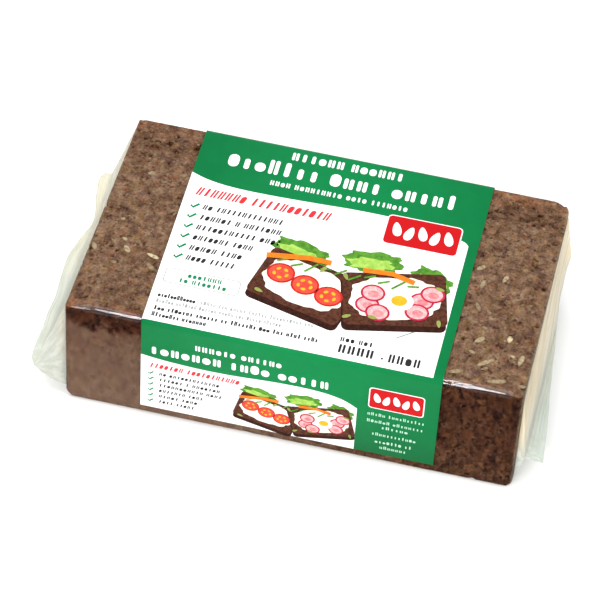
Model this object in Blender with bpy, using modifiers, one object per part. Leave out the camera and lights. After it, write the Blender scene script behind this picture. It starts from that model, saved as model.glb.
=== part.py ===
"""Block of dark seed bread in a clear flow wrap, with a label band round it.

Metres, +Z up, +X along the block. The origin is the middle of the face that
the block rests on.
"""
import math
import random

import bmesh
import bpy

# The bread block
LENGTH = 0.155
WIDTH = 0.090
HEIGHT = 0.049
EDGE_RADIUS = 0.0022         # the two long edges on top
FOOT_RADIUS = 0.0013         # the two long edges it stands on
MIDDLE_STATIONS = 9          # sections along the straight middle

# The label band over the front, the top and the back
LABEL_LEFT = -0.0520
LABEL_RIGHT = 0.0503
LABEL_FOOT = 0.0046          # its lower edges stand this high
LABEL_GAP = 0.0003
LABEL_THICKNESS = 0.0004

# How each end of the block is worn round: dip is how far the top falls at the
# front, corner radii are seen from above, and foot_corner from the front.
# The film closes from there to a sealed fin within tent_reach, and spread is
# how late it widens. The fin stands out by reach_back, which from reach_start
# (0 back, 1 front) turns to reach_front, less a scallop in its edge and a cut
# off its two corners.
FIN_THICKNESS = 0.0011
FIN_CORNER = 0.005           # how far from the fin's ends its corners are cut
ENDS = {
    -1: {
        "dip": 0.0030, "dip_length": 0.014, "skew": 0.0015,
        "front_corner": 0.0020, "back_corner": 0.0024, "foot_corner": 0.0032,
        "seal_front": 0.0148, "seal_back": 0.0168,
        "fin_front": -0.0462, "fin_back": 0.0440,
        "reach_back": 0.0135, "reach_front": 0.0121, "reach_start": 0.5,
        "scallop_at": 0.022, "scallop_width": 0.040, "scallop_depth": 0.0028,
        "corner_cut": 0.0018,
        "tent_reach": 0.0100, "top_power": 1.5, "foot_power": 1.4, "spread": 1.0,
        "ripple": 0.0003, "ripple_length": 0.040, "fold": 0.0006,
    },
    1: {
        "dip": 0.0014, "dip_length": 0.009, "skew": 0.0,
        "front_corner": 0.0022, "back_corner": 0.0065, "foot_corner": 0.0022,
        "seal_front": 0.0166, "seal_back": 0.0225,
        "fin_front": -0.0440, "fin_back": 0.0432,
        "reach_back": 0.0020, "reach_front": 0.0096, "reach_start": 0.2,
        "scallop_at": 0.046, "scallop_width": 0.020, "scallop_depth": -0.0009,
        "corner_cut": 0.0,
        "tent_reach": 0.0030, "top_power": 0.9, "foot_power": 1.0, "spread": 0.5,
        "ripple": 0.0001, "ripple_length": 0.030, "fold": 0.0004,
    },
}
CORNER_STATIONS = 4          # sections round each end's corners
DIP_STATIONS = 2             # sections along the rest of the dip
TAIL_STATIONS = 7            # sections from the block's end to the fin's edge

# Steps round one section
ROW_STEPS = 18               # along the top, and along the bottom
ARC_STEPS = 3                # round one long edge
SIDE_STEPS = 5               # up one side, an odd number

# Pumpkin seeds that show in the cut face, as low bumps
SEED_LENGTH = 0.0068
SEED_WIDTH = 0.0034
SEED_THICKNESS = 0.0014
SEED_SINK = 0.0002           # centre below the bread's face
SEED_ROWS = 8
SEED_MARGIN_END = 0.014      # clear of the block's end
SEED_MARGIN_LABEL = 0.005
SEED_MARGIN_SIDE = 0.009
SEED_JITTER = 0.0016
SEED_DRAW = 41


def clear_scene():
    for item in list(bpy.data.objects):
        bpy.data.objects.remove(item, do_unlink=True)


def make_material(name, colour, roughness, metallic=0.0):
    material = bpy.data.materials.new(name)
    material.use_nodes = True
    shader = material.node_tree.nodes["Principled BSDF"]
    shader.inputs["Base Color"].default_value = (*colour, 1.0)
    shader.inputs["Roughness"].default_value = roughness
    shader.inputs["Metallic"].default_value = metallic
    return material


def add_object(name, mesh, material, collection):
    item = bpy.data.objects.new(name, mesh)
    item.data.materials.append(material)
    collection.objects.link(item)
    return item


def blend(a, b, t):
    return a + (b - a) * t


def rounding(distance, radius, depth):
    """How far a face has drawn in at a distance from the end it curves to."""
    if distance >= radius:
        return 0.0
    t = 1.0 - distance / radius
    return depth * (1.0 - math.sqrt(1.0 - t * t))


def section(front, back, low, high):
    """One rounded section of the block, as a ring of points (y, z)."""
    arcs = []
    for y, z, radius, start in (
        (back - FOOT_RADIUS, low + FOOT_RADIUS, FOOT_RADIUS, -90),
        (back - EDGE_RADIUS, high - EDGE_RADIUS, EDGE_RADIUS, 0),
        (front + EDGE_RADIUS, high - EDGE_RADIUS, EDGE_RADIUS, 90),
        (front + FOOT_RADIUS, low + FOOT_RADIUS, FOOT_RADIUS, 180),
    ):
        angles = [math.radians(start + 90 * step / ARC_STEPS) for step in range(ARC_STEPS + 1)]
        arcs.append([(y + radius * math.cos(a), z + radius * math.sin(a)) for a in angles])
    ring = []
    for number, arc in enumerate(arcs):
        ring += arc[:-1]
        (y0, z0), (y1, z1) = arc[-1], arcs[(number + 1) % 4][0]
        count = (SIDE_STEPS, ROW_STEPS)[number % 2]
        ring += [(blend(y0, y1, step / count), blend(z0, z1, step / count))
                 for step in range(count)]
    return ring


def toward_front(y):
    """1 at the front face, 0 at the back face."""
    return min(1.0, max(0.0, 0.5 - y / WIDTH))


def block_ring(side, distance):
    """The block's section at a distance in from one end, as points (x, y, z)."""
    end = ENDS[side]
    fall = rounding(distance, end["dip_length"], end["dip"])
    low = rounding(distance, end["foot_corner"], end["foot_corner"])
    front = -WIDTH / 2 + rounding(distance, end["front_corner"], end["front_corner"])
    back = WIDTH / 2 - rounding(distance, end["back_corner"], end["back_corner"])
    x = side * (LENGTH / 2 - distance)
    near = max(0.0, 1.0 - distance / end["dip_length"])
    ring = []
    for y, z in section(front, back, low, HEIGHT):
        lowered = z - fall * toward_front(y) * (z - low) / (HEIGHT - low)
        ring.append((x + end["skew"] * near * y / (WIDTH / 2), y, lowered))
    return ring


def fin_reach(side, y):
    """How far the film's edge stands out of the block's end, at one y."""
    end = ENDS[side]
    t = (toward_front(y) - end["reach_start"]) / (1.0 - end["reach_start"])
    reach = blend(end["reach_back"], end["reach_front"], max(0.0, t))
    offset = (y - end["scallop_at"]) / end["scallop_width"]
    if abs(offset) < 0.5:
        reach -= end["scallop_depth"] * math.cos(math.pi * offset) ** 2
    corner = 1.0 - min(y - end["fin_front"], end["fin_back"] - y) / FIN_CORNER
    reach -= end["corner_cut"] * min(1.0, max(0.0, corner)) ** 2
    wave = math.cos(math.tau * (y - 0.002) / end["ripple_length"])
    wave += 0.4 * math.cos(math.tau * (y + 0.021) / (0.43 * end["ripple_length"]))
    return reach + end["ripple"] * wave


def tail_ring(side, share):
    """The film's section at a share of its reach, closing from block to fin."""
    end = ENDS[side]
    start = block_ring(side, 0.0)
    front = min(y for _, y, _ in start)
    back = max(y for _, y, _ in start)
    ring = []
    for x, y, z in start:
        across = (y - front) / (back - front)
        fin_y = blend(end["fin_front"], end["fin_back"], across)
        tent = min(1.0, share * max(1.0, fin_reach(side, fin_y) / end["tent_reach"]))
        new_y = blend(y, fin_y, tent ** end["spread"])
        seal = blend(end["seal_front"], end["seal_back"], across ** 3)
        rise = z - seal
        if rise > 0:
            side_share = (2.0 * across - 1.0) ** 4
            keep = (1.0 - tent) ** blend(end["top_power"], 1.0, side_share)
            edge = rise / (HEIGHT - seal)
        else:
            keep = 1.0 - tent ** end["foot_power"]
            edge = rise / seal
        fold = math.sin(math.tau * new_y / 0.031) + 0.5 * math.sin(math.tau * new_y / 0.013)
        new_z = seal + rise * keep + edge * FIN_THICKNESS / 2 * (1.0 - keep)
        new_z += end["fold"] * fold * share * (1.0 - keep)
        ring.append((x + side * fin_reach(side, new_y) * share, new_y, new_z))
    return ring


def end_distances(side):
    """Distances from one end at which the block has a section, nearest first."""
    end = ENDS[side]
    corner = max(end["front_corner"], end["back_corner"], end["foot_corner"])
    found = [corner * (1.0 - math.cos(math.pi / 2 * step / CORNER_STATIONS))
             for step in range(CORNER_STATIONS + 1)]
    for step in range(1, DIP_STATIONS + 1):
        found.append(corner + (end["dip_length"] - corner) * step / DIP_STATIONS)
    return found


def pack_rings():
    """Every ring of the pack, from the left fin's edge to the right one's."""
    rings = [tail_ring(-1, share / TAIL_STATIONS) for share in range(TAIL_STATIONS, 0, -1)]
    rings += [block_ring(-1, distance) for distance in end_distances(-1)]
    left = -LENGTH / 2 + ENDS[-1]["dip_length"]
    right = LENGTH / 2 - ENDS[1]["dip_length"]
    for step in range(1, MIDDLE_STATIONS):
        x = left + (right - left) * step / MIDDLE_STATIONS
        rings.append([(x, y, z) for y, z in section(-WIDTH / 2, WIDTH / 2, 0.0, HEIGHT)])
    rings += [block_ring(1, distance) for distance in reversed(end_distances(1))]
    rings += [tail_ring(1, share / TAIL_STATIONS) for share in range(1, TAIL_STATIONS + 1)]
    return rings


def close_fin(mesh, ring):
    """Close a fin's edge: each point low in the ring meets the one above it."""
    count = len(ring)
    first = ARC_STEPS + (SIDE_STEPS - 1) // 2      # middle of the back side
    for step in range(count // 2 - 1):
        a, b = (first - step) % count, (first - step - 1) % count
        c, d = (first + step + 2) % count, (first + step + 1) % count
        mesh.faces.new((ring[a], ring[b], ring[c], ring[d]))


def build_pack(material, collection):
    loft = bmesh.new()
    rings = [[loft.verts.new(point) for point in ring] for ring in pack_rings()]
    count = len(rings[0])
    for near, far in zip(rings, rings[1:]):
        for i in range(count):
            j = (i + 1) % count
            loft.faces.new((near[i], near[j], far[j], far[i]))
    close_fin(loft, rings[0])
    close_fin(loft, rings[-1])
    bmesh.ops.recalc_face_normals(loft, faces=loft.faces)
    mesh = bpy.data.meshes.new("wrapped_bread")
    loft.to_mesh(mesh)
    loft.free()
    return add_object("wrapped_bread", mesh, material, collection)


def seed_places():
    """Seeds in the two open strips of the top: (x, y, turn, size)."""
    draw = random.Random(SEED_DRAW)
    strips = (
        (-LENGTH / 2 + SEED_MARGIN_END, LABEL_LEFT - SEED_MARGIN_LABEL),
        (LABEL_RIGHT + SEED_MARGIN_LABEL, LENGTH / 2 - SEED_MARGIN_END),
    )
    step = (WIDTH - 2 * SEED_MARGIN_SIDE) / (SEED_ROWS - 1)
    places = []
    for low, high in strips:
        for row in range(SEED_ROWS):
            for column, x in enumerate((low, high)):
                y = -WIDTH / 2 + SEED_MARGIN_SIDE + step * (row + 0.45 * column - 0.2)
                places.append((
                    x + draw.uniform(-0.5, 0.5) * SEED_JITTER,
                    y + draw.uniform(-1.0, 1.0) * SEED_JITTER,
                    draw.uniform(0.0, math.pi),
                    draw.uniform(0.75, 1.05),
                ))
    return places


def fuse_seeds(pack):
    """Join the seeds to the pack by one union, and drop the loose ones."""
    seeds = bpy.data.collections.new("seeds")
    bpy.context.scene.collection.children.link(seeds)
    for number, (x, y, turn, size) in enumerate(seed_places()):
        bpy.ops.mesh.primitive_uv_sphere_add(segments=8, ring_count=4, radius=0.5)
        seed = bpy.context.object
        seed.name = f"seed_{number}"
        seed.scale = (SEED_LENGTH * size, SEED_WIDTH * size, SEED_THICKNESS)
        seed.rotation_euler = (0.0, 0.0, turn)
        seed.location = (x, y, HEIGHT - SEED_SINK)
        for owner in list(seed.users_collection):
            owner.objects.unlink(seed)
        seeds.objects.link(seed)
    union = pack.modifiers.new("seeds", "BOOLEAN")
    union.operation = "UNION"
    union.operand_type = "COLLECTION"
    union.collection = seeds
    bpy.context.view_layer.objects.active = pack
    bpy.ops.object.modifier_apply(modifier=union.name)
    for seed in list(seeds.objects):
        bpy.data.objects.remove(seed, do_unlink=True)
    bpy.data.collections.remove(seeds)


def build_label(material, collection):
    """A thin band that follows the block's section, open at the bottom."""
    reach = WIDTH / 2 + LABEL_GAP
    top = HEIGHT + LABEL_GAP
    r = EDGE_RADIUS + LABEL_GAP
    path = [(-reach, LABEL_FOOT)]
    for middle, start in ((-reach + r, 180), (reach - r, 90)):
        for step in range(2 * ARC_STEPS + 1):
            angle = math.radians(start - 90 * step / (2 * ARC_STEPS))
            path.append((middle + r * math.cos(angle), top - r + r * math.sin(angle)))
    path.append((reach, LABEL_FOOT))

    sheet = bmesh.new()
    points = [sheet.verts.new((LABEL_LEFT, y, z)) for y, z in path]
    edges = [sheet.edges.new(pair) for pair in zip(points, points[1:])]
    swept = bmesh.ops.extrude_edge_only(sheet, edges=edges)["geom"]
    moved = [item for item in swept if isinstance(item, bmesh.types.BMVert)]
    bmesh.ops.translate(sheet, verts=moved, vec=(LABEL_RIGHT - LABEL_LEFT, 0.0, 0.0))
    bmesh.ops.recalc_face_normals(sheet, faces=sheet.faces)
    top_face = max(sheet.faces, key=lambda face: face.calc_area())
    if top_face.normal.z < 0:
        bmesh.ops.reverse_faces(sheet, faces=sheet.faces)
    mesh = bpy.data.meshes.new("label")
    sheet.to_mesh(mesh)
    sheet.free()
    label = add_object("label", mesh, material, collection)
    wall = label.modifiers.new("thickness", "SOLIDIFY")
    wall.thickness = LABEL_THICKNESS
    wall.offset = 1.0
    return label


def main():
    clear_scene()
    collection = bpy.data.collections.new("wrapped_seed_bread")
    bpy.context.scene.collection.children.link(collection)
    bread = make_material("bread_in_film", (0.17, 0.10, 0.07), 0.45)
    print_paper = make_material("label_print", (0.01, 0.26, 0.08), 0.35)
    pack = build_pack(bread, collection)
    fuse_seeds(pack)
    build_label(print_paper, collection)


main()
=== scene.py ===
import random
from math import asin, copysign, cos, degrees, floor, hypot, pi, radians, sin, sqrt, tau

import bmesh
import bpy
from mathutils import Matrix, Vector, noise


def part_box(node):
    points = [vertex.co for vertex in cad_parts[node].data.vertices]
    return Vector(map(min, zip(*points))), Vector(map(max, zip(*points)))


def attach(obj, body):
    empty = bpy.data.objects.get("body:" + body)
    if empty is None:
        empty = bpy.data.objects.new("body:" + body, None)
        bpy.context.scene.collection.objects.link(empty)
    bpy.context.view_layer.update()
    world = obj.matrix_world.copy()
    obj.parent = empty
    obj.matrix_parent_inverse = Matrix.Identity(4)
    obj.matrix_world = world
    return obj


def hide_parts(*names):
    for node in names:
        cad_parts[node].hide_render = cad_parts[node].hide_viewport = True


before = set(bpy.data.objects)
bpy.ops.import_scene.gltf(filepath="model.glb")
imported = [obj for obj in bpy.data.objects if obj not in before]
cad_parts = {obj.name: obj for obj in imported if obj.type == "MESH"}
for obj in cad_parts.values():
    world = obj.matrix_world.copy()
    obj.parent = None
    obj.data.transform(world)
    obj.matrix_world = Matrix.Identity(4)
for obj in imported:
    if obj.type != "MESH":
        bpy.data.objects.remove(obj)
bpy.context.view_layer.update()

# Wrapped block of pumpkin seed bread. Lengths are in metres, +X runs along the
# block, +Y to its back, and the block stands on z = 0.

labelLow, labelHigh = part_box("label")

# the bread block inside its film, and how its edges are worn
block = {
    "length": 0.155,
    "width": 0.090,
    "height": 0.049,
    "edgeRadius": 0.0022,  # the two long edges on top
    "footRadius": 0.0013,  # the two long edges it stands on
    "filmGap": 0.0001,  # bread to film
}
halfLength = block["length"] / 2
halfWidth = block["width"] / 2
height = block["height"]

# each end: how it is worn round, and how its film closes to a sealed fin
ends = {
    -1: {
        "dip": 0.0030, "dipLength": 0.014, "skew": 0.0015,
        "frontCorner": 0.0020, "backCorner": 0.0024, "footCorner": 0.0032,
        "sealFront": 0.0148, "sealBack": 0.0168,
        "finFront": -0.0462, "finBack": 0.0440,
        "reachBack": 0.0135, "reachFront": 0.0121, "reachStart": 0.5,
        "scallopAt": 0.022, "scallopWidth": 0.040, "scallopDepth": 0.0028,
        "cornerCut": 0.0018,
        "tentReach": 0.0100, "topPower": 1.5, "footPower": 1.4, "spread": 1.0,
        "ripple": 0.0003, "rippleLength": 0.040, "fold": 0.0006,
    },
    1: {
        "dip": 0.0014, "dipLength": 0.009, "skew": 0.0,
        "frontCorner": 0.0022, "backCorner": 0.0065, "footCorner": 0.0022,
        "sealFront": 0.0166, "sealBack": 0.0225,
        "finFront": -0.0440, "finBack": 0.0432,
        "reachBack": 0.0020, "reachFront": 0.0096, "reachStart": 0.2,
        "scallopAt": 0.046, "scallopWidth": 0.020, "scallopDepth": -0.0009,
        "cornerCut": 0.0,
        "tentReach": 0.0030, "topPower": 0.9, "footPower": 1.0, "spread": 0.5,
        "ripple": 0.0001, "rippleLength": 0.030, "fold": 0.0004,
    },
}


# small tools

def paint(red, green, blue):  # a colour as a screen shows it, made linear
    def linear(value):
        value = value / 255
        return value / 12.92 if value <= 0.04045 else ((value + 0.055) / 1.055) ** 2.4
    return (linear(red), linear(green), linear(blue), 1.0)


def mixed(a, b, t):
    return a + (b - a) * t


def eased(low, high, value):
    t = min(1.0, max(0.0, (value - low) / (high - low)))
    return t * t * (3.0 - 2.0 * t)


def addNode(material, kind, sockets=None, **fields):  # gives the new node's outputs
    made = material.node_tree.nodes.new("ShaderNode" + kind)
    for field, value in fields.items():
        setattr(made, field, value)
    for socket, value in (sockets or {}).items():
        if isinstance(value, bpy.types.NodeSocket):
            material.node_tree.links.new(value, made.inputs[socket])
        else:
            made.inputs[socket].default_value = value
    return made.outputs


def addRamp(material, factor, stops):
    ramp = addNode(material, "ValToRGB", {0: factor})[0]
    points = ramp.node.color_ramp.elements
    while len(points) < len(stops):
        points.new(0.5)
    for point, (place, colour) in zip(points, stops):
        point.position = place
        point.color = colour if len(colour) == 4 else (*colour, 1.0)
    return ramp


def mask(material, source, low, high, top=1.0):  # 0 below low, rising to top at high
    return addRamp(material, source, [(low, (0, 0, 0)), (high, (top, top, top))])


def mixColours(material, factor, a, b, way="MIX"):
    return addNode(material, "Mix", {0: factor, 6: a, 7: b}, data_type="RGBA", blend_type=way)[2]


def calculate(material, way, *values, clamp=False):
    return addNode(material, "Math", dict(enumerate(values)), operation=way, use_clamp=clamp)[0]


def times(material, a, b):
    return calculate(material, "MULTIPLY", a, b)


def timesPlus(material, a, b, c):
    return calculate(material, "MULTIPLY_ADD", a, b, c)


def stained(material, share, colour, red, green, blue):  # part of it multiplied by another
    other = mixColours(material, 1.0, colour, (red, green, blue, 1.0), "MULTIPLY")
    return mixColours(material, share, colour, other)


def toned(material, factor, tones):  # a ramp of screen colours
    return addRamp(material, factor, [(place, paint(*tone)) for place, tone in tones])


def noiseOf(material, coords, scale, detail=3.0, rough=0.5, stretch=None):
    if stretch:
        coords = addNode(material, "Mapping", {"Vector": coords, "Scale": stretch})[0]
    return addNode(material, "TexNoise",
                   {"Vector": coords, "Scale": scale, "Detail": detail, "Roughness": rough})[0]


def channels(material, layer):  # the three parts of what a colour layer says
    colour = addNode(material, "VertexColor", layer_name=layer)[0]
    return addNode(material, "SeparateColor", {0: colour})


def newMaterial(name, roughness, specular):
    material = bpy.data.materials.new(name)
    material.use_nodes = True
    shader = material.node_tree.nodes["Principled BSDF"]
    shader.inputs["Roughness"].default_value = roughness
    shader.inputs["Specular IOR Level"].default_value = specular
    return material, shader, addNode(material, "TexCoord")["Object"]


def plug(material, source, shader, socket):
    material.node_tree.links.new(source, shader.inputs[socket])


def addBump(material, shader, heightSource, strength, distance):
    bump = addNode(material, "Bump",
                   {"Height": heightSource, "Strength": strength, "Distance": distance})
    plug(material, bump[0], shader, "Normal")


def vertsOf(found):  # the vertices in what a bmesh operator gives back
    return [part for part in found["geom"] if isinstance(part, bmesh.types.BMVert)]


def meshOf(name, shape, materials=()):
    mesh = bpy.data.meshes.new(name)
    shape.to_mesh(mesh)
    shape.free()
    for material in materials:
        mesh.materials.append(material)
    return mesh


def addObject(name, data):
    made = bpy.data.objects.new(name, data)
    bpy.context.scene.collection.objects.link(made)
    return made


def makePiece(name, shape, materials, node, smooth=True):
    mesh = meshOf(name, shape, materials)
    if smooth:
        mesh.shade_smooth()
    piece = addObject(name, mesh)
    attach(piece, "root")
    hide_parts(node)
    return piece


def closedBall(around, along):  # a unit ball, copied for each small grain
    shape = bmesh.new()
    bmesh.ops.create_uvsphere(shape, u_segments=around, v_segments=along, radius=0.5,
                              matrix=Matrix.Rotation(pi / 2, 4, "Y"))
    return meshOf("ball", shape)


# the camera and the studio

cameraView = {
    "azimuth": 10.09, "elevation": 49.41, "roll": 3.85,
    "distance": 1.2225, "aimRight": 0.0047, "aimUp": -0.0142,
    "lens": 207.24,
}


def makeCamera():
    turn, lift = radians(cameraView["azimuth"]), radians(cameraView["elevation"])
    back = Vector((sin(turn) * cos(lift), -cos(turn) * cos(lift), sin(lift)))
    level = Vector((cos(turn), sin(turn), 0.0))
    tilt = Matrix.Rotation(radians(cameraView["roll"]), 3, back)
    right = tilt @ level
    up = back.cross(right)
    eye = (back * cameraView["distance"] - right * cameraView["aimRight"]
           - up * cameraView["aimUp"])
    data = bpy.data.cameras.new("camera")
    data.lens = cameraView["lens"]
    data.sensor_width = 36.0
    data.clip_start = 0.01
    camera = addObject("camera", data)
    facing = Matrix((right, up, back)).transposed().to_4x4()
    camera.matrix_world = Matrix.Translation(eye) @ facing
    bpy.context.scene.camera = camera


studio = {
    "floorSize": 6.0,
    "floorLevel": -0.0002,  # just under what stands on it
    "floorColour": (250, 250, 249),
    "worldStrength": 0.72,
    "lights": {  # place, size across and up, power in watts
        "overhead": ((-0.10, 0.05, 1.30), (1.1, 1.1), 8.5),
        "frontSoft": ((0.10, -1.30, 0.60), (1.2, 0.6), 0.8),
        "sideSoft": ((1.15, -0.35, 0.75), (0.6, 0.6), 5.5),
        "edgeGleam": ((-0.160, -1.080, 0.898), (0.50, 0.17), 6.5),
        "endGleam": ((-0.700, -0.960, 0.800), (0.60, 0.17), 3.5),
    },
}


def makeStudio():
    ground = bmesh.new()
    bmesh.ops.create_grid(ground, x_segments=1, y_segments=1, size=studio["floorSize"] / 2,
                          matrix=Matrix.Translation((0, 0, studio["floorLevel"])))
    material, shader, _ = newMaterial("floorPaint", 0.8, 0.1)
    shader.inputs["Base Color"].default_value = paint(*studio["floorColour"])
    addObject("floor", meshOf("floor", ground, [material]))
    for name, (place, size, power) in studio["lights"].items():
        data = bpy.data.lights.new(name, "AREA")
        data.shape = "RECTANGLE"
        data.size, data.size_y = size
        data.energy = power
        light = addObject(name, data)
        light.location = place
        light.rotation_euler = Vector(place).to_track_quat("Z", "Y").to_euler()
    world = bpy.data.worlds.new("studio")
    world.use_nodes = True
    sky = world.node_tree.nodes["Background"]
    sky.inputs[0].default_value = (1.0, 1.0, 1.0, 1.0)
    sky.inputs[1].default_value = studio["worldStrength"]
    bpy.context.scene.world = world
    bpy.context.scene.view_settings.view_transform = "Standard"
    print("camera and studio are set")


# the form of the block and of its film

def drawnIn(distance, radius, depth):  # how far a face has curved in, this near its end
    if distance >= radius:
        return 0.0
    t = 1.0 - distance / radius
    return depth * (1.0 - sqrt(1.0 - t * t))


def towardFront(y):
    return min(1.0, max(0.0, 0.5 - y / block["width"]))


def roundOff(a, b):  # a square corner's inner distances, turned to a round corner's
    if a <= 0.0 or b <= 0.0:
        return a, b
    share = max(a, b) / hypot(a, b)
    return a * share, b * share


def shapeBlock(point):  # takes a point of the plain box to the worn block
    x, y, z = point
    side = -1 if x < 0 else 1
    end = ends[side]
    gap = block["filmGap"]
    long, wide, tall = halfLength - gap, halfWidth - gap, height - gap
    ySide = -1 if y < 0 else 1
    ax, ay = abs(x), abs(y)
    radius = block["edgeRadius"]
    a, b = roundOff(ay - wide + radius, z - tall + radius)
    ay, z = wide - radius + a, tall - radius + b
    radius = block["footRadius"]
    a, b = roundOff(ay - wide + radius, radius + gap - z)
    ay, z = wide - radius + a, radius + gap - b
    radius = end["frontCorner"] if y < 0 else end["backCorner"]
    a, b = roundOff(ax - long + radius, ay - wide + radius)
    ax, ay = long - radius + a, wide - radius + b
    radius = end["footCorner"]
    a, b = roundOff(ax - long + radius, radius + gap - z)
    ax, z = long - radius + a, radius + gap - b
    y = ySide * ay
    inside = halfLength - ax
    z -= drawnIn(inside, end["dipLength"], end["dip"]) * towardFront(y) * z / height
    x = side * ax + end["skew"] * max(0.0, 1.0 - inside / end["dipLength"]) * y / halfWidth
    return Vector((x, y, z))


# the bread

breadLook = {
    "cell": 0.00062,  # grid size of the parts that show
    "middleCells": 50,  # along the part under the label
    "crumbRise": 0.00006,  # how far the crumb's grain stands up and sinks
    "pitCell": 0.0024,  # one pit at most in each cell of this size
    "pitRadius": 0.0010,
    "pitDepth": 0.00070,
    "bandBottom": 0.0385,  # foot of the dark band on the front's left
    "backRim": 0.0375,  # where the back rim of the top begins
    "frontRim": -0.0405,  # and its front rim, on the left
    "poreBand": 0.0335,  # middle of the band of pores along the back of the top
    "tones": [(0.33, (68, 46, 34)), (0.42, (91, 67, 51)), (0.50, (111, 85, 66)),
              (0.58, (129, 103, 82)), (0.70, (156, 131, 106))],
    # patches a few millimetres wide: red-brown, khaki and grey-mauve
    "patches": [(300.0, 0.54, (1.16, 0.96, 0.86)), (265.0, 0.53, (0.98, 1.0, 0.78)),
                (230.0, 0.54, (0.72, 0.68, 0.80))],
    "rimStain": (1.20, 0.92, 0.80),
    "darkStain": (0.335, 0.195, 0.120),
}


def chance(point):  # a steady random number for a place
    value = sin(point.x * 12.9898 + point.y * 78.233 + point.z * 37.719) * 43758.5453
    return value - floor(value)


def breadZone(point, normal):
    # how baked, dark and pitted the bread is at one place, and where the film over it blurs the crumb
    # and carries a painted reflection of the floor
    wobble = noise.noise(point * 150.0) * 0.0034 + noise.noise(point * 520.0) * 0.0014
    left = 1.0 - eased(-0.045, 0.048, point.x)
    rim = dark = blurAndSheen = 0.0
    pitted = 0.10
    if abs(normal.z) > 0.6:
        rim = 0.9 * eased(-0.002, 0.004, point.y + wobble - breadLook["backRim"])
        rim = max(rim, left * eased(-0.001, 0.003, breadLook["frontRim"] - point.y - wobble))
        band = abs(point.y + wobble - breadLook["poreBand"])
        pitted += 0.45 * (1.0 - eased(0.002, 0.0065, band))
        dark = 0.30 * (1.0 - eased(0.001, 0.006, band))
    elif normal.y < -0.6:
        top = eased(-0.002, 0.003, point.z + 1.6 * wobble - breadLook["bandBottom"])
        # the front lightens toward its foot: a painted reflection of the floor in the film, over the
        # crumb's own dark; on the left, below the dark band, the material paints that reflection over
        # the crumb
        low = 0.70 + 0.22 * eased(0.003, 0.024, point.z) + 0.08 * eased(0.024, 0.045, point.z)
        dark = mixed(low, 0.90 * top + 0.10, left)
        blurAndSheen = left * (1.0 - top)
        rim = mixed(0.30, top * 0.6, left)
        pitted = mixed(0.40, 0.60 * top + 0.02, left)
    else:
        rim, dark, pitted = 0.3, 0.5, 0.3
    return rim, dark, blurAndSheen, pitted


def addPanel(shape, corner, along, across, cellsAlong, cellsAcross):
    middle = Vector(corner) + (Vector(along) + Vector(across)) / 2
    away = Vector(along).cross(Vector(across)).normalized()
    place = Matrix((Vector(along) / 2, Vector(across) / 2, away)).transposed().to_4x4()
    place.translation = middle
    bmesh.ops.create_grid(shape, x_segments=cellsAlong, y_segments=cellsAcross, size=1.0,
                          matrix=place)


def makeBreadMaterial():
    material, shader, coords = newMaterial("breadCrumb", 0.75, 0.03)
    rim, dark, blurAndSheen = channels(material, "zone")
    # the crumb is drawn out a little upwards
    coords = addNode(material, "Mapping", {"Vector": coords, "Scale": (1.0, 1.0, 0.6)})[0]
    drift = addNode(material, "TexNoise", {"Vector": coords, "Scale": 500.0, "Detail": 2.0})
    bent = addNode(material, "VectorMath",
                   {0: drift["Color"], 1: (0.0022, 0.0022, 0.0022), 2: coords},
                   operation="MULTIPLY_ADD")[0]
    speckle = noiseOf(material, coords, 1150.0, 3.0, 0.6)
    blotch = noiseOf(material, coords, 330.0, 2.0, 0.5)
    broad = noiseOf(material, coords, 120.0, 2.0, 0.5)
    tone = timesPlus(material, blotch, 0.44, times(material, broad, 0.14))
    tone = timesPlus(material, speckle, 0.42, tone)
    crumb = toned(material, tone, breadLook["tones"])
    for scale, low, stain in breadLook["patches"]:
        patch = noiseOf(material, bent, scale, 2.0, 0.5, stretch=(1.0 + scale / 900, 1.0, 1.0))
        crumb = stained(material, mask(material, patch, low, low + 0.13), crumb, *stain)
    # the rims: baked redder, in patches
    patch = mask(material, noiseOf(material, bent, 200.0, 2.0), 0.40, 0.60)
    crumb = stained(material, times(material, rim, patch), crumb, *breadLook["rimStain"])
    crumb = stained(material, dark, crumb, *breadLook["darkStain"])
    # pores, more of them where it is dark, painted dark: painted shade inside the crumb's holes
    cells = addNode(material, "TexVoronoi", {"Vector": bent, "Scale": 620.0})
    cells = addRamp(material, cells["Distance"], [(0.20, (1, 1, 1)), (0.46, (0, 0, 0))])
    spread = timesPlus(material, dark, 0.20, noiseOf(material, coords, 210.0, 2.0))
    shadedPores = times(material, cells, mask(material, spread, 0.52, 0.60))
    crumb = stained(material, times(material, shadedPores, 0.65), crumb, 0.16, 0.09, 0.07)
    # coarse gaps where it is dark, painted dark: painted shade inside them
    shadedGaps = mask(material, noiseOf(material, bent, 520.0, 2.0), 0.50, 0.61)
    shadedGaps = times(material, times(material, dark, shadedGaps), 0.9)
    crumb = stained(material, shadedGaps, crumb, 0.22, 0.16, 0.15)
    # where the film lies close and blurs the crumb, with a painted reflection of the floor in the
    # film, greyer and lighter toward the bottom
    upward = addNode(material, "SeparateXYZ", {0: coords})[2]
    upward = timesPlus(material, noiseOf(material, coords, 150.0, 4.0, 0.65), 0.8,
                       times(material, upward, 28.0))
    smooth = mixColours(material, mask(material, upward, 0.45, 1.0), paint(108, 86, 73),
                        paint(82, 58, 47))
    crumb = mixColours(material, times(material, blurAndSheen, 0.62), crumb, smooth)
    plug(material, crumb, shader, "Base Color")
    relief = timesPlus(material, blotch, 0.6, times(material, speckle, 0.5))
    relief = timesPlus(material, shadedPores, -0.9, relief)
    relief = times(material, relief, timesPlus(material, blurAndSheen, -0.6, 1.0))
    addBump(material, shader, relief, 0.8, 0.0006)
    return material


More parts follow.
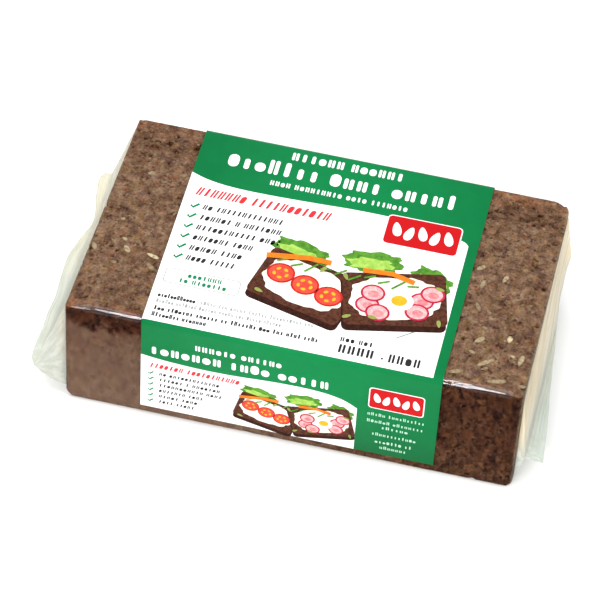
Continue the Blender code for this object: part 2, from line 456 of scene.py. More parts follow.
def makeBread():
    gap = block["filmGap"]
    x0, x3 = -halfLength + gap, halfLength - gap
    x1, x2 = labelLow.x + 0.002, labelHigh.x - 0.002
    y0, y1 = -halfWidth + gap, halfWidth - gap
    z0, z1 = gap, height - gap
    cell = breadLook["cell"]
    cellsY = round((y1 - y0) / cell)
    cellsZ = round((z1 - z0) / cell)
    shape = bmesh.new()
    for a, b, cells in ((x0, x1, round((x1 - x0) / cell)), (x1, x2, breadLook["middleCells"]),
                        (x2, x3, round((x3 - x2) / cell))):
        along = (b - a, 0, 0)
        addPanel(shape, (a, y0, z1), along, (0, y1 - y0, 0), cells, cellsY)
        addPanel(shape, (a, y1, z0), along, (0, y0 - y1, 0), cells, cellsY)
        addPanel(shape, (a, y0, z0), along, (0, 0, z1 - z0), cells, cellsZ)
        addPanel(shape, (a, y1, z1), along, (0, 0, z0 - z1), cells, cellsZ)
    addPanel(shape, (x3, y0, z0), (0, y1 - y0, 0), (0, 0, z1 - z0), cellsY, cellsZ)
    addPanel(shape, (x0, y1, z0), (0, y0 - y1, 0), (0, 0, z1 - z0), cellsY, cellsZ)
    bmesh.ops.remove_doubles(shape, verts=shape.verts, dist=cell / 20)
    for vert in shape.verts:
        vert.co = shapeBlock(vert.co)
    shape.normal_update()
    zone = shape.verts.layers.float_color.new("zone")
    for vert in shape.verts:
        rim, dark, blurAndSheen, pitted = breadZone(vert.co, vert.normal)
        rough = noise.fractal(vert.co * 900.0, 0.9, 2.2, 3)
        nearest, owners = noise.voronoi(vert.co / breadLook["pitCell"])
        pit = 0.0
        if chance(owners[0]) < pitted:
            size = breadLook["pitRadius"] * (0.6 + 0.8 * chance(owners[0].yzx))
            pit = 1.0 - eased(0.35, 1.0, nearest[0] * breadLook["pitCell"] / size)
        sink = breadLook["pitDepth"] * pit
        sink += breadLook["crumbRise"] * (0.9 - rough) * (1.0 - 0.8 * blurAndSheen)
        vert.co -= vert.normal * max(0.0, sink)
        # the pits are painted darker as well: painted shade in the hollows
        vert[zone] = (rim, min(1.0, dark + 0.9 * pit), blurAndSheen, 1.0)
    bread = makePiece("breadBlock", shape, [makeBreadMaterial()], "wrapped_bread")
    print("bread block:", len(bread.data.polygons), "faces")


# what is baked into the bread: cut pumpkin seeds and whole-grain kernels

seedLook = {
    "sunk": 0.00005,
    "proud": 0.00008,  # the cut face stands this high over the crumb
    "depth": 0.0012,
    # x, y, length, width in mm, turn in degrees, paleness, for the seeds that show on top
    "shown": [
        (52.9, 7.1, 3.6, 1.9, 42, 0.55), (54.9, 0.0, 4.3, 1.7, 79, 0.45),
        (61.9, 4.2, 3.8, 1.8, 70, 0.60), (55.2, -10.1, 4.3, 1.7, -63, 0.25),
        (59.3, -11.6, 2.1, 1.3, -37, 0.25), (59.3, -18.8, 2.3, 1.4, -19, 0.25),
        (58.6, -24.2, 4.4, 2.1, 45, 0.50), (68.3, -21.6, 3.0, 2.2, 93, 1.00),
        (57.1, -30.0, 2.6, 1.5, -15, 0.35), (62.4, -33.3, 6.6, 1.9, 39, 0.55),
        (73.6, -29.4, 4.8, 2.1, 81, 0.60), (70.6, -28.5, 1.9, 1.2, -12, 0.65),
        (53.4, -39.6, 5.4, 1.9, 20, 0.40), (67.4, -40.4, 6.5, 2.1, 14, 0.40),
        (75.8, -40.0, 2.9, 1.6, 15, 0.35), (62.5, -36.0, 2.8, 1.2, 33, 0.25),
        (-65.6, 19.8, 2.9, 1.8, 20, 0.45), (-54.6, 21.5, 2.9, 1.3, 19, 0.30),
        (-69.5, -3.1, 1.6, 1.5, 19, 0.50), (-66.5, -11.8, 2.2, 1.6, -21, 0.50),
        (-64.7, -16.0, 3.8, 2.2, -50, 0.60), (-75.4, -16.8, 3.9, 2.1, -56, 0.40),
        (-55.5, -16.9, 4.7, 1.7, -17, 1.00), (-55.2, -21.6, 4.2, 2.0, -40, 0.30),
        (-67.4, -22.8, 2.2, 1.5, -6, 0.30),
    ],
    "elsewhere": 38,  # on the bottom, the ends and the back
    "draw": 23,
}
kernelLook = {
    "topCount": 620,
    "sideCount": 150,  # on each open part of the front and the back
    "endCount": 170,
    "bottomCount": 260,
    "long": (0.0011, 0.0026),
    "depth": 0.0010,
    "rise": 0.00008,
    "tones": [(0.0, (66, 44, 32)), (0.35, (96, 72, 55)), (0.6, (118, 95, 74)),
              (0.85, (136, 114, 90)), (1.0, (164, 146, 116))],
    "draw": 5,
}


def faceSpots(draw, count, low, high):  # random places on one open face
    for _ in range(count):
        yield Vector([draw.uniform(a, b) for a, b in zip(Vector(low), Vector(high))])


def openFaces():  # the parts of the block outside the label: low, high and the way each faces
    inner = 0.004  # clear of the worn edges
    leftX = (-halfLength + inner, labelLow.x - 0.001)
    rightX = (labelHigh.x + 0.001, halfLength - inner)
    yMost = halfWidth - inner
    yOuter = halfWidth - block["filmGap"]
    top, bottom = height - block["filmGap"], block["filmGap"]
    faces = {"top": [], "bottom": [], "front": [], "back": [], "end": []}
    for a, b in (leftX, rightX):
        faces["top"].append(((a, -yMost, top), (b, yMost, top), (0, 0, 1)))
        faces["front"].append(((a, -yOuter, inner), (b, -yOuter, height - inner), (0, -1, 0)))
        faces["back"].append(((a, yOuter, inner), (b, yOuter, height - inner), (0, 1, 0)))
    faces["bottom"].append(((leftX[0], -yMost, bottom), (rightX[1], yMost, bottom), (0, 0, -1)))
    for side in (-1, 1):
        x = side * (halfLength - block["filmGap"])
        faces["end"].append(((x, -yMost, inner), (x, yMost, height - inner), (side, 0, 0)))
    return faces


def addGrain(shape, ball, spot, away, length, width, depth, turn, lift, flat=None, pinch=0.0):
    # one seed or kernel, lying in the face that looks along away
    before = len(shape.verts)
    shape.from_mesh(ball)
    shape.verts.ensure_lookup_table()
    made = shape.verts[before:]
    facing = Vector(away).to_track_quat("Z", "Y").to_matrix() @ Matrix.Rotation(turn, 3, "Z")
    for vert in made:
        x, y, z = vert.co
        y *= 1.0 - pinch * (x + 0.5) * 1.1
        x, y, z = x * length, y * width, z * depth
        if flat is not None:
            z = min(z, flat)
        vert.co = spot + facing @ Vector((x, y, z + lift))
    return made


def makeSeedMaterial():
    material, shader, coords = newMaterial("cutSeed", 0.5, 0.15)
    pale, edge, _ = channels(material, "seed")
    flesh = mixColours(material, pale, paint(102, 81, 60), paint(200, 186, 148))
    cloud = noiseOf(material, coords, 900.0, 3.0)
    flesh = mixColours(material, mask(material, cloud, 0.42, 0.64, 0.75), flesh, paint(116, 92, 68))
    flesh = mixColours(material, edge, flesh, paint(102, 80, 56))
    plug(material, flesh, shader, "Base Color")
    addBump(material, shader, cloud, 0.3, 0.0002)
    return material


def makeSeeds():
    draw = random.Random(seedLook["draw"])
    shape = bmesh.new()
    mark = shape.verts.layers.float_color.new("seed")
    ball = closedBall(16, 8)

    def addSeed(spot, away, length, width, turn, pale):
        made = addGrain(shape, ball, spot, away, length, width, seedLook["depth"], turn,
                        -seedLook["sunk"], flat=seedLook["proud"], pinch=0.28)
        across = Vector(away)
        for vert in made:
            offset = vert.co - spot
            offset -= across * offset.dot(across)
            edge = offset.length / (length / 2)
            vert[mark] = (pale, 0.5 * eased(0.55, 1.0, edge), 0.0, 1.0)

    for x, y, length, width, turn, pale in seedLook["shown"]:
        spot = shapeBlock(Vector((x / 1000, y / 1000, height)))
        addSeed(spot, (0, 0, 1), length / 1000, width / 1000, radians(turn), pale)
    faces = openFaces()
    others = faces["bottom"] + faces["back"] + faces["end"]
    for number in range(seedLook["elsewhere"]):
        low, high, away = others[number % len(others)]
        for spot in faceSpots(draw, 1, low, high):
            addSeed(shapeBlock(spot), away, draw.uniform(0.0030, 0.0062), draw.uniform(0.0016, 0.0022),
                    draw.uniform(0.0, pi), draw.uniform(0.1, 0.5))
    makePiece("pumpkinSeeds", shape, [makeSeedMaterial()], "wrapped_bread")
    print("pumpkin seeds:", len(seedLook["shown"]) + seedLook["elsewhere"])


def makeKernelMaterial():
    material, shader, coords = newMaterial("grainKernel", 0.6, 0.05)
    pale, dark, _ = channels(material, "kernel")
    husk = toned(material, pale, kernelLook["tones"])
    speckle = times(material, noiseOf(material, coords, 1400.0), 0.5)
    husk = mixColours(material, speckle, husk, paint(82, 58, 43))
    husk = stained(material, dark, husk, 0.52, 0.34, 0.24)
    plug(material, husk, shader, "Base Color")
    return material


def makeKernels():
    draw = random.Random(kernelLook["draw"])
    shape = bmesh.new()
    mark = shape.verts.layers.float_color.new("kernel")
    ball = closedBall(7, 4)
    faces = openFaces()
    sides = kernelLook["sideCount"]
    counts = {"top": kernelLook["topCount"] // 2, "front": sides, "back": sides,
              "end": kernelLook["endCount"], "bottom": kernelLook["bottomCount"]}
    depth = kernelLook["depth"]
    made = 0
    for kind, count in counts.items():
        for low, high, away in faces[kind]:
            for spot in faceSpots(draw, count, low, high):
                length = draw.uniform(*kernelLook["long"])
                width = length * draw.uniform(0.45, 0.75)
                turn = draw.uniform(0.0, pi)
                tone = draw.betavariate(2.2, 2.4)
                place = shapeBlock(spot)
                # on the front the dark share carries the painted floor reflection too
                _, dark, blurAndSheen, _ = breadZone(place, Vector(away))
                if blurAndSheen > 0.4:
                    continue
                for vert in addGrain(shape, ball, place, away, length, width, depth, turn,
                                     kernelLook["rise"] - depth / 2):
                    vert[mark] = (tone, dark, 0.0, 1.0)
                made += 1
    makePiece("grainKernels", shape, [makeKernelMaterial()], "wrapped_bread")
    print("kernels:", made)


# the clear film round the bread, with its sealed ends

film = {
    "arcSteps": 18,
    "sideSteps": 24,
    "rowSteps": 66,
    "endLength": 0.026,  # the open part at each end, where the rings are closer
    "endSteps": 34,
    "middleSteps": 24,
    "tailSteps": 30,
    "finThickness": 0.00030,
    "finCorner": 0.005,  # how far from the fin's ends its corners are cut
    "crimp": 0.00010,  # the pressed waves of the seal
    "crimpLength": 0.0011,
    "crease": 0.00022,
    "edgeMilk": 0.15,
    "milk": {-1: (0.50, 0.84), 1: (0.82, 0.92)},  # at the block's edge, and out in the fin
    # the flattened front edge that catches the light: (x, width) from left to right
    "gleam": [(-0.0770, 0.0), (-0.0760, 0.00080), (-0.0660, 0.00085), (-0.0600, 0.00110),
              (-0.0510, 0.00140), (0.0500, 0.00200), (0.0580, 0.00190), (0.0625, 0.00120),
              (0.0700, 0.00065), (0.0735, 0.0)],
    "gleamReach": 0.0020,  # how far from the block's square edge it gleams
}


def gleamWidth(x):
    points = film["gleam"]
    for (xa, a), (xb, b) in zip(points, points[1:]):
        if xa <= x < xb:
            return mixed(a, b, (x - xa) / (xb - xa))
    return 0.0


def filmSection(front, back, low, top, flat):  # one ring of (y, z), flat at the front edge
    arcs, steps = [], film["arcSteps"]
    edge, foot = block["edgeRadius"], block["footRadius"]
    for y, z, radius, start in ((back - foot, low + foot, foot, -90),
                                (back - edge, top - edge, edge, 0),
                                (front + edge, top - edge, edge, 90),
                                (front + foot, low + foot, foot, 180)):
        angles = [radians(start + 90 * step / steps) for step in range(steps + 1)]
        reach = asin(flat / 2 / radius) if start == 90 else 0.0
        arc = []
        for angle in angles:  # round, but cut off flat in the middle of the front edge
            off = angle - radians(135)
            far = radius * cos(reach) / cos(off) if abs(off) < reach else radius
            arc.append((y + far * cos(angle), z + far * sin(angle)))
        arcs.append(arc)
    ring = []
    for number, arc in enumerate(arcs):
        ring += arc[:-1]
        (ya, za), (yb, zb) = arc[-1], arcs[(number + 1) % 4][0]
        count = (film["sideSteps"], film["rowSteps"])[number % 2]
        ring += [(mixed(ya, yb, step / count), mixed(za, zb, step / count)) for step in range(count)]
    return ring


def filmBlockRing(side, distance):
    end = ends[side]
    fall = drawnIn(distance, end["dipLength"], end["dip"])
    low = drawnIn(distance, end["footCorner"], end["footCorner"])
    front = -halfWidth + drawnIn(distance, end["frontCorner"], end["frontCorner"])
    back = halfWidth - drawnIn(distance, end["backCorner"], end["backCorner"])
    near = max(0.0, 1.0 - distance / end["dipLength"])
    x = side * (halfLength - distance)
    ring = []
    for y, z in filmSection(front, back, low, height, gleamWidth(x)):
        z -= fall * towardFront(y) * (z - low) / (height - low)
        ring.append(Vector((x + end["skew"] * near * y / halfWidth, y, z)))
    return ring


def finReach(side, y):
    end = ends[side]
    t = (towardFront(y) - end["reachStart"]) / (1.0 - end["reachStart"])
    reach = mixed(end["reachBack"], end["reachFront"], max(0.0, t))
    offset = (y - end["scallopAt"]) / end["scallopWidth"]
    if abs(offset) < 0.5:
        reach -= end["scallopDepth"] * cos(pi * offset) ** 2
    corner = 1.0 - min(y - end["finFront"], end["finBack"] - y) / film["finCorner"]
    reach -= end["cornerCut"] * min(1.0, max(0.0, corner)) ** 2
    wave = cos(tau * (y - 0.002) / end["rippleLength"])
    wave += 0.4 * cos(tau * (y + 0.021) / (0.43 * end["rippleLength"]))
    return reach + end["ripple"] * wave


def filmTailRing(side, share):
    end = ends[side]
    start = filmBlockRing(side, 0.0)
    front, back = min(p.y for p in start), max(p.y for p in start)
    ring = []
    for point in start:
        across = (point.y - front) / (back - front)
        finY = mixed(end["finFront"], end["finBack"], across)
        tent = min(1.0, share * max(1.0, finReach(side, finY) / end["tentReach"]))
        y = mixed(point.y, finY, tent ** end["spread"])
        seal = mixed(end["sealFront"], end["sealBack"], across ** 3)
        rise = point.z - seal
        if rise > 0:
            keep = (1.0 - tent) ** mixed(end["topPower"], 1.0, (2.0 * across - 1.0) ** 4)
            edge = rise / (height - seal)
        else:
            keep = 1.0 - tent ** end["footPower"]
            edge = rise / seal
        fold = sin(tau * y / 0.031) + 0.5 * sin(tau * y / 0.013)
        z = seal + rise * keep + edge * film["finThickness"] / 2 * (1.0 - keep)
        z += end["fold"] * fold * share * (1.0 - keep)
        out = finReach(side, y) * share
        # creases fan out from the block's edge, and the seal is crimped
        loose = sin(pi * min(1.0, tent * 1.05))
        crease = noise.noise(Vector((out * 90, y * 420, z * 130 + side * 7)))
        crease += 0.3 * noise.noise(Vector((out * 160, y * 950, z * 200 + side * 3)))
        out += film["crease"] * crease * loose
        z += film["crease"] * 1.4 * crease * loose * (1.0 if rise > 0 else -1.0)
        if tent >= 1.0:
            z += film["crimp"] * sin(tau * out / film["crimpLength"])
        ring.append(Vector((point.x + side * out, y, z)))
    if share >= 1.0:  # the two layers meet at the fin's edge
        turnover = 2 * film["arcSteps"] + film["sideSteps"]
        ring = [(ring[i] + ring[(turnover - i) % len(ring)]) / 2 for i in range(len(ring))]
    return ring


def endDistances(side):
    end = ends[side]
    corner = max(end["frontCorner"], end["backCorner"], end["footCorner"])
    steps = film["endSteps"] // 2
    found = [corner * (1.0 - cos(pi / 2 * step / steps)) for step in range(steps + 1)]
    rest = film["endSteps"] - steps
    return found + [mixed(corner, film["endLength"], step / rest) for step in range(1, rest + 1)]


def tailMilk(side, share):
    low, high = film["milk"][side]
    return mixed(low, high, eased(0.0, 0.15, share))


def blockMilk(distance):  # the film whitens only along the block's very edge
    return film["edgeMilk"] * (1.0 - eased(0.0, 0.0010, distance))


def filmEnd(side):  # the rings of one end, from the middle out to the fin's edge
    steps = film["tailSteps"]
    shares = [step / steps for step in range(1, steps + 1)]
    rings = [(filmBlockRing(side, d), blockMilk(d), 0) for d in reversed(endDistances(side))]
    return rings + [(filmTailRing(side, share), tailMilk(side, share), side) for share in shares]


def filmRings():  # every ring from the left fin's edge to the right one's, with its milkiness
    rings = filmEnd(-1)[::-1]
    inner = film["endLength"]
    for step in range(1, film["middleSteps"]):
        x = mixed(inner - halfLength, halfLength - inner, step / film["middleSteps"])
        section = filmSection(-halfWidth, halfWidth, 0.0, height, gleamWidth(x))
        rings.append(([Vector((x, y, z)) for y, z in section], 0.0, 0))
    return rings + filmEnd(1)


def makeFilmMaterial():
    material = bpy.data.materials.new("clearFilm")
    material.use_nodes = True
    tree = material.node_tree
    tree.nodes.remove(tree.nodes["Principled BSDF"])
    coords = addNode(material, "TexCoord")["Object"]
    milk, creamAndGlowShare, gleam = channels(material, "film")
    waves = noiseOf(material, coords, 60.0, 2.0)
    bump = addNode(material, "Bump", {"Height": waves, "Strength": 0.10, "Distance": 0.0004})[0]
    clear = addNode(material, "BsdfTransparent", {0: (1.0, 1.0, 1.0, 1.0)})[0]
    gloss = addNode(material, "BsdfGlossy",
                    {0: (0.97, 0.94, 1.0, 1.0), "Roughness": 0.07, "Normal": bump})[0]
    shine = addNode(material, "Fresnel", {"IOR": 1.42, "Normal": bump})[0]
    shine = times(material, shine, timesPlus(material, gleam, 0.93, 0.07))
    # folds: some fan out from the block's edge, others run along it
    place = addNode(material, "VertexColor", layer_name="fold")[0]
    fan = noiseOf(material, place, 1.0, 3.0, 0.6, stretch=(2.4, 70.0, 5.0))
    along = noiseOf(material, place, 1.0, 3.0, 0.6, stretch=(10.0, 9.0, 9.0))
    front = addNode(material, "SeparateXYZ", {0: coords})[1]
    front = mask(material, times(material, front, -10.0), 0.30, 0.44)
    streaks = addNode(material, "Mix", {0: front, 2: along, 3: fan}, data_type="FLOAT")[0]
    # the cream share is partly painted glow of light off the bread, over the film's own grey-green
    tint = mixColours(material, creamAndGlowShare, paint(212, 219, 212), paint(255, 243, 212))
    # whiter along the folds: painted highlights on the creases
    creaseHighlight = mask(material, streaks, 0.50, 0.66, 0.4)
    tint = mixColours(material, creaseHighlight, tint, paint(248, 249, 244))
    white = addNode(material, "BsdfDiffuse", {0: tint})[0]
    glow = addNode(material, "BsdfTranslucent", {0: tint})[0]
    cloud = addNode(material, "MixShader", {0: 0.4, 1: white, 2: glow})[0]
    veil = addRamp(material, streaks, [(0.36, (0.82, 0.82, 0.82)), (0.62, (1.06, 1.06, 1.06))])
    veil = calculate(material, "MULTIPLY", milk, veil, clamp=True)
    body = addNode(material, "MixShader", {0: veil, 1: clear, 2: cloud})[0]
    skin = addNode(material, "MixShader", {0: shine, 1: body, 2: gloss})[0]
    tree.links.new(skin, tree.nodes["Material Output"].inputs["Surface"])
    return material


def makeFilm():
    rings = filmRings()
    stations, around = len(rings) - 1, len(rings[0][0])
    shape = bmesh.new()
    bmesh.ops.create_grid(shape, x_segments=stations, y_segments=around, size=0.5)
    layer = shape.verts.layers.float_color.new("film")
    fold = shape.verts.layers.float_color.new("fold")
    tail = film["tailSteps"]
    for vert in shape.verts:
        station = round((vert.co.x + 0.5) * stations)
        step = round((vert.co.y + 0.5) * around) % around
        points, milk, side = rings[station]
        point = points[step]
        # cream beside the block and at the back, partly the film's own tint and partly painted glow of
        # light off the bread, fading toward the floor, and paler grey-green out in the fin
        creamAndGlow = 1.0 - eased(0.001, 0.006, abs(point.x) - halfLength)
        if side > 0:
            creamAndGlow = max(creamAndGlow, 0.8 * eased(-0.030, 0.015, point.y))
        creamAndGlow *= eased(0.010, 0.030, point.z)
        if side < 0:
            creamAndGlow = max(0.15 + 0.4 * creamAndGlow, 0.5 * eased(-0.030, 0.025, point.y))
        flat = gleamWidth(point.x) / 2
        edge = hypot(point.y + halfWidth, point.z - height)
        gleam = 1.0 if flat and edge < film["gleamReach"] else 0.0
        vert[layer] = (milk, creamAndGlow, gleam, 1.0)
        out = max(tail - station, station - stations + tail, 0) / tail
        vert[fold] = (out, step / around, 0.5 + 0.5 * side, 1.0)
        vert.co = point
    bmesh.ops.remove_doubles(shape, verts=shape.verts, dist=0.000002)
    bmesh.ops.recalc_face_normals(shape, faces=shape.faces)
    wrap = makePiece("clearFilm", shape, [makeFilmMaterial()], "wrapped_bread")
    print("clear film:", len(wrap.data.polygons), "faces")


# the label band and what is printed on it

label = {
    "lift": 0.00045,  # its outer face over the block
    "thickness": 0.00012,
    "foldSteps": 10,
    "printBase": 0.00002,  # from the band to the lowest print
    "printStep": 0.00004,  # from one level of print to the next
    "printThickness": 0.00003,
    "bendSteps": 8,  # cuts that let a print bend round the fold
}
labelLeft, labelRight, labelFoot = labelLow.x, labelHigh.x, labelLow.z
labelWide = labelRight - labelLeft


def onTop(u, v, lift):  # u from the label's left edge, v from the back fold
    y = halfWidth - v
    radius = block["edgeRadius"]
    past = abs(y) - (halfWidth - radius)
    out = radius + label["lift"] + lift
    if past <= 0.0:
        return Vector((labelLeft + u, y, height + label["lift"] + lift))
    angle = past / out
    return Vector((labelLeft + u, copysign(halfWidth - radius + out * sin(angle), y),
                   height - radius + out * cos(angle)))


def onFront(u, v, lift):  # v down from the top fold
    return Vector((labelLeft + u, -halfWidth - label["lift"] - lift, height - v))


def onBack(u, v, lift):
    return Vector((labelRight - u, halfWidth + label["lift"] + lift, height - v))


def makeInk(name, colour, second=None, scale=400.0, amount=0.5):  # speckled with a second colour
    material, shader, coords = newMaterial(name, 0.38, 0.04)
    speckle = noiseOf(material, coords, scale, 3.0, 0.6)
    other = second or tuple(min(255, part * 0.94) for part in colour)
    share = mask(material, speckle, 0.40, 0.62, amount)
    plug(material, mixColours(material, share, paint(*colour), paint(*other)), shader, "Base Color")
    addBump(material, shader, noiseOf(material, coords, 90.0, 2.0), 0.08, 0.0006)
    return material


def makeLabelBand():
    radius = block["edgeRadius"]
    reach, top = halfWidth + label["lift"], height + label["lift"]
    out = radius + label["lift"]
    path = [(-reach, labelFoot), (-reach, (labelFoot + height) / 2)]
    for middle, start in ((-reach + out, 180), (reach - out, 90)):
        for step in range(label["foldSteps"] + 1):
            angle = radians(start - 90 * step / label["foldSteps"])
            path.append((middle + out * cos(angle), top - out + out * sin(angle)))
    path += [(reach, (labelFoot + height) / 2), (reach, labelFoot)]
    shape = bmesh.new()
    points = [shape.verts.new((labelLeft, y, z)) for y, z in path]
    edges = [shape.edges.new(pair) for pair in zip(points, points[1:])]
    swept = bmesh.ops.extrude_edge_only(shape, edges=edges)
    bmesh.ops.translate(shape, verts=vertsOf(swept), vec=(labelWide, 0.0, 0.0))
    bmesh.ops.recalc_face_normals(shape, faces=shape.faces)
    if max(shape.faces, key=lambda face: face.calc_area()).normal.z < 0:
        bmesh.ops.reverse_faces(shape, faces=shape.faces)
    green = makeInk("labelGreen", (17, 124, 68), (15, 118, 64), 120.0, 0.6)
    band = makePiece("labelBand", shape, [green], "label")
    wall = band.modifiers.new("thickness", "SOLIDIFY")
    wall.thickness = label["thickness"]
    wall.offset = -1.0
    print("label band is made")


# outlines of what is printed, in mm on the label

def putAt(points, u, v, turn):  # an outline turned by some degrees, then moved to u, v
    c, s = cos(radians(turn)), sin(radians(turn))
    return [(u + a * c - b * s, v + a * s + b * c) for a, b in points]


def roundedBox(u, v, wide, tall, radius, turn=0.0, lean=0.0, steps=4):
    points = []
    for corner, (right, down) in enumerate(((1, 1), (-1, 1), (-1, -1), (1, -1))):
        cu, cv = right * (wide / 2 - radius), down * (tall / 2 - radius)
        for step in range(steps + 1):
            angle = radians(90 * corner + 90 * step / steps)
            points.append((cu + radius * cos(angle), cv + radius * sin(angle)))
    return putAt([(a - b * lean, b) for a, b in points], u, v, turn)


def oval(u, v, wide, tall, turn=0.0, steps=20):
    angles = [tau * i / steps for i in range(steps)]
    return putAt([(wide / 2 * cos(a), tall / 2 * sin(a)) for a in angles], u, v, turn)


def almond(u, v, length, width, turn, steps=16):  # a seed or leaf, pointed at one end
    points = []
    for i in range(steps):
        angle = tau * i / steps
        a = length / 2 * cos(angle)
        points.append((a, width / 2 * sin(angle) * (1.0 - 0.45 * (a / length + 0.5))))
    return putAt(points, u, v, turn)


def frill(u, v, wide, tall, turn, waves, depth, steps=72):  # a wavy blob, for spread and leaves
    points = []
    power = 0.78  # squarer than an oval
    for i in range(steps):
        angle = tau * i / steps
        wave = 1.0 + depth * sin(waves * angle)
        wave += 0.5 * depth * sin((waves * 2 + 1) * angle + 1.3)
        points.append([size / 2 * wave * copysign(abs(way) ** power, way)
                       for size, way in ((wide, cos(angle)), (tall, sin(angle)))])
    return putAt(points, u, v, turn)


def stroke(points, width):  # a line of constant width through a few points
    left, right = [], []
    for i, (u, v) in enumerate(points):
        before, after = points[max(0, i - 1)], points[min(len(points) - 1, i + 1)]
        du, dv = after[0] - before[0], after[1] - before[1]
        length = hypot(du, dv)
        nu, nv = -dv / length * width / 2, du / length * width / 2
        left.append((u + nu, v + nv))
        right.append((u - nu, v - nv))
    return left + right[::-1]


def wordMarks(draw, u, v, wide, tall, words, lean=0.0, tallShare=0.25, bold=1.0):
    # one line of discs, pills and dashes in place of words: no letters, only their size and pace
    total = sum(words) + 0.6 * (len(words) - 1)
    pitch = wide / total
    marks = []

    def pill(a, top, across, foot):  # a in cells from the left, top and foot from the line's top
        width, down = min(across * bold, 0.9) * pitch, (foot - top) * tall
        middleU = u + a * pitch
        middleV = v - tall / 2 + top * tall + down / 2
        middleU -= (middleV - v) * lean
        marks.append(roundedBox(middleU, middleV, width, down, min(width, down) * 0.48,
                                lean=lean, steps=3))

    at = 0.5
    for letters in words:
        for _ in range(letters):
            top = 0.0 if draw.random() < tallShare else 0.27
            kind = draw.random()
            if kind < 0.40:
                pill(at, top, 0.36, 1.0)
            elif kind < 0.70:
                pill(at - 0.21, top, 0.27, 1.0)
                pill(at + 0.21, top, 0.27, 1.0)
            else:
                pill(at, mixed(top, 1.0, 0.12), 0.72, 1.0)
            at += 1.0
        at += 0.6
    return marks


def tick(u, v, size):
    return stroke([(u, v), (u + 0.35 * size, v + 0.38 * size), (u + 1.1 * size, v - 0.42 * size)],
                  0.36 * size)


def addPrint(shape, spot, outlines, level, materialIndex=0, bend=False):
    # lays flat outlines on the label as thin prints, level by level
    lift = label["printStep"] * level + label["printBase"]
    flat = bmesh.new()
    for outline in outlines:
        face = flat.faces.new([flat.verts.new((u / 1000, v / 1000, 0.0)) for u, v in outline])
        face.normal_update()
    bmesh.ops.triangulate(flat, faces=flat.faces)
    if bend:
        radius = block["edgeRadius"]
        for step in range(label["bendSteps"] + 1):
            place = block["width"] - radius + step * radius / label["bendSteps"]
            bmesh.ops.bisect_plane(flat, geom=flat.verts[:] + flat.edges[:] + flat.faces[:],
                                   plane_co=(0, place, 0), plane_no=(0, 1, 0))
    swept = bmesh.ops.extrude_face_region(flat, geom=flat.faces[:])
    bmesh.ops.translate(flat, verts=vertsOf(swept), vec=(0, 0, 1.0))
    for vert in flat.verts:
        above = label["printThickness"] if vert.co.z > 0.5 else 0.0
        vert.co = spot(vert.co.x, vert.co.y, lift + above)
    bmesh.ops.recalc_face_normals(flat, faces=flat.faces)
    for face in flat.faces:
        face.material_index = materialIndex
    part = meshOf("part", flat)
    shape.from_mesh(part)
    bpy.data.meshes.remove(part)


def openBox(u, v, wide, tall, radius, line):  # a thin rounded outline, as short strips
    outer = roundedBox(u, v, wide, tall, radius, steps=6)
    inner = roundedBox(u, v, wide - 2 * line, tall - 2 * line, radius - line, steps=6)
    pairs = list(zip(outer, inner))
    return [[a, c, d, b] for (a, b), (c, d) in zip(pairs, pairs[1:] + pairs[:1])]


def makePrint(name, shape, *inks):
    makePiece(name, shape, inks, "label", smooth=False)


def makeMarks(name, shape, ink, colour):
    makePrint(name, shape, makeInk(ink, colour, scale=200.0))


def addMarks(shape, draw, spot, rows, **style):  # each row: left, middle, width, height, words
    for u, v, wide, tall, words in rows:
        addPrint(shape, spot, wordMarks(draw, u, v, wide, tall, words, **style), 1)


panels = {
    # the white field's upper edge, from the left: (u, v) in mm
    "topEdge": [(0.0, 21.4), (5.0, 23.2), (11.0, 24.4), (19.0, 25.0), (30.0, 25.0),
                (45.0, 24.5), (60.0, 23.9), (78.0, 24.4), (95.4, 28.0), (98.9, 30.2)],
    "topRight": 98.9,
    "topFoot": 89.5,
    "frontEdge": [(0.0, 17.3), (8.0, 18.4), (20.0, 19.1), (32.0, 18.9), (45.0, 17.9),
                  (56.0, 17.6), (64.0, 18.2), (70.0, 19.8), (74.7, 22.6)],
    "frontRight": 74.7,
    "inset": 0.02,  # the white field stays this far inside the band
}
footLine = (height - labelFoot) * 1000


def smoothEdge(points, steps=5):  # a soft line through a few points
    line = []
    for i in range(len(points) - 1):
        p0, p1 = points[max(0, i - 1)], points[i]
        p2, p3 = points[i + 1], points[min(len(points) - 1, i + 2)]
        for step in range(steps):
            t = step / steps
            line.append(tuple(0.5 * (2 * b + (c - a) * t + (2 * a - 5 * b + 4 * c - d) * t * t
                                     + (3 * b - a - 3 * c + d) * t ** 3)
                              for a, b, c, d in zip(p0, p1, p2, p3)))
    return line + [points[-1]]


def makePanels():
    shape = bmesh.new()
    inset, foot = panels["inset"], panels["topFoot"]
    top = smoothEdge(panels["topEdge"]) + [(panels["topRight"], foot), (inset, foot)]
    addPrint(shape, onTop, [top], 0, bend=True)
    foot = footLine - inset
    front = smoothEdge(panels["frontEdge"]) + [(panels["frontRight"], foot), (inset, foot)]
    addPrint(shape, onFront, [front], 0)
    addPrint(shape, onBack, [roundedBox(36.0, 26.0, 66.0, 31.0, 1.5),
                             roundedBox(86.5, 26.0, 26.0, 31.0, 1.5)], 0)
    makePrint("labelPanels", shape,
              makeInk("labelWhite", (252, 252, 252), (246, 247, 246), 150.0, 0.4))


